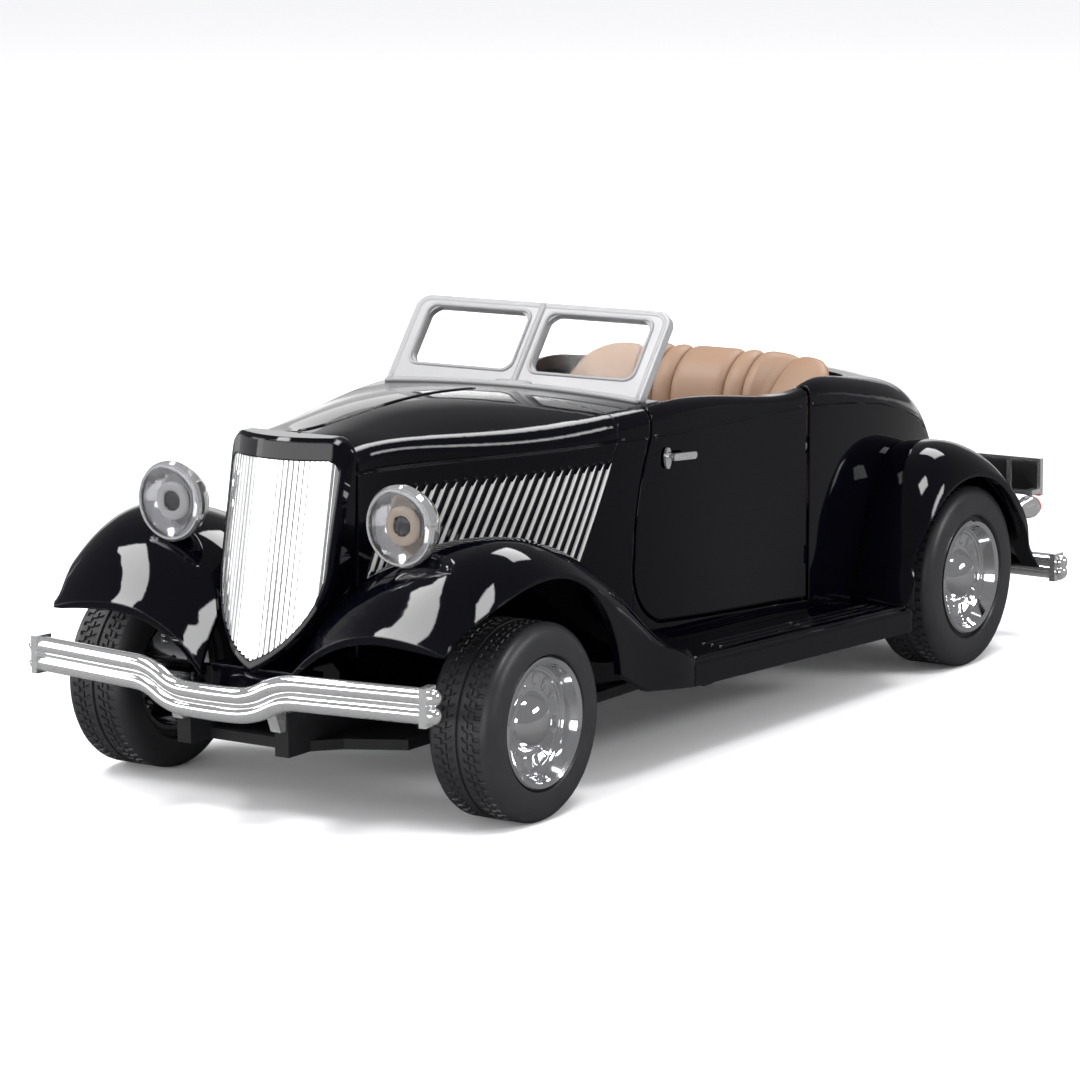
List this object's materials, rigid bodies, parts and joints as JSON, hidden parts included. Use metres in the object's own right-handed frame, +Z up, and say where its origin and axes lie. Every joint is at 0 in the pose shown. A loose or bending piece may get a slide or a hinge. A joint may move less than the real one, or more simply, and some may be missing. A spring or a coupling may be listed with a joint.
{
  "type": "die-cast model convertible car",
  "caption": "Die-cast scale model of a pre-war open two-seat convertible with fat tyres, opening rear-hinged doors and free-rolling wheels.",
  "frame": {"origin": "on the ground, under the middle of the car's outline", "axes": "+Z up, +Y towards the tail, +X to the car's left; the front bumper faces -Y"},
  "size_m": [0.071, 0.18, 0.0603],
  "materials": {
    "body_paint": "gloss black enamel over die-cast zinc",
    "base_plate": "moulded satin black plastic",
    "cabin_black": "moulded satin black plastic",
    "seat_tan": "moulded tan plastic, satin",
    "bright_trim": "moulded plastic with a bright vacuum plating",
    "silver_frame": "moulded plastic with a soft silver finish",
    "clear_pane": "clear plastic glazing",
    "lamp_lens": "clear plastic lens",
    "red_lens": "clear red plastic",
    "tyre": "soft black vinyl with a satin face",
    "axle_steel": "plain steel rod"
  },
  "bodies": {
    "car": {"chassis": "base_plate", "hood": "body_paint", "cowl": "body_paint", "rear_body": "body_paint", "front_fender_left": "body_paint", "front_fender_right": "body_paint", "rear_fender_left": "body_paint", "rear_fender_right": "body_paint", "running_board_left": "body_paint", "running_board_right": "body_paint", "floor_tub": "cabin_black", "seat": "seat_tan", "dashboard": "cabin_black", "steering_wheel": "cabin_black", "grille_shell": "body_paint", "grille": "bright_trim", "headlight_left": "bright_trim", "headlight_right": "bright_trim", "headlight_lenses": "lamp_lens", "tail_lamp_left": "bright_trim", "tail_lamp_right": "bright_trim", "tail_lenses": "red_lens", "plate_frame": "bright_trim", "front_bumper": "bright_trim", "rear_bumper": "bright_trim", "bumper_irons": "bright_trim", "windscreen_frame": "silver_frame", "windscreen_panes": "clear_pane"},
    "door_left": {"door_left": "body_paint", "door_card_left": "seat_tan", "door_handle_left": "bright_trim"},
    "door_right": {"door_right": "body_paint", "door_card_right": "seat_tan", "door_handle_right": "bright_trim"},
    "front_wheels": {"front_axle": "axle_steel", "rim_front_left": "bright_trim", "rim_front_right": "bright_trim", "tyre_front_left": "tyre", "tyre_front_right": "tyre"},
    "rear_wheels": {"rear_axle": "axle_steel", "rim_rear_left": "bright_trim", "rim_rear_right": "bright_trim", "tyre_rear_left": "tyre", "tyre_rear_right": "tyre"}
  },
  "joints": [
    {"name": "door_left_hinge", "type": "hinge", "parent": "car", "child": "door_left", "pos_m": [0.02445, 0.0196, 0.03], "axis": [0, 0, 1], "range_deg": [0, 60]},
    {"name": "door_right_hinge", "type": "hinge", "parent": "car", "child": "door_right", "pos_m": [-0.02445, 0.0196, 0.03], "axis": [0, 0, -1], "range_deg": [0, 60]},
    {"name": "front_wheels_spin", "type": "hinge", "parent": "car", "child": "front_wheels", "pos_m": [0, -0.063, 0.0131], "axis": [1, 0, 0], "continuous": true},
    {"name": "rear_wheels_spin", "type": "hinge", "parent": "car", "child": "rear_wheels", "pos_m": [0, 0.0555, 0.0138], "axis": [1, 0, 0], "continuous": true}
  ]
}
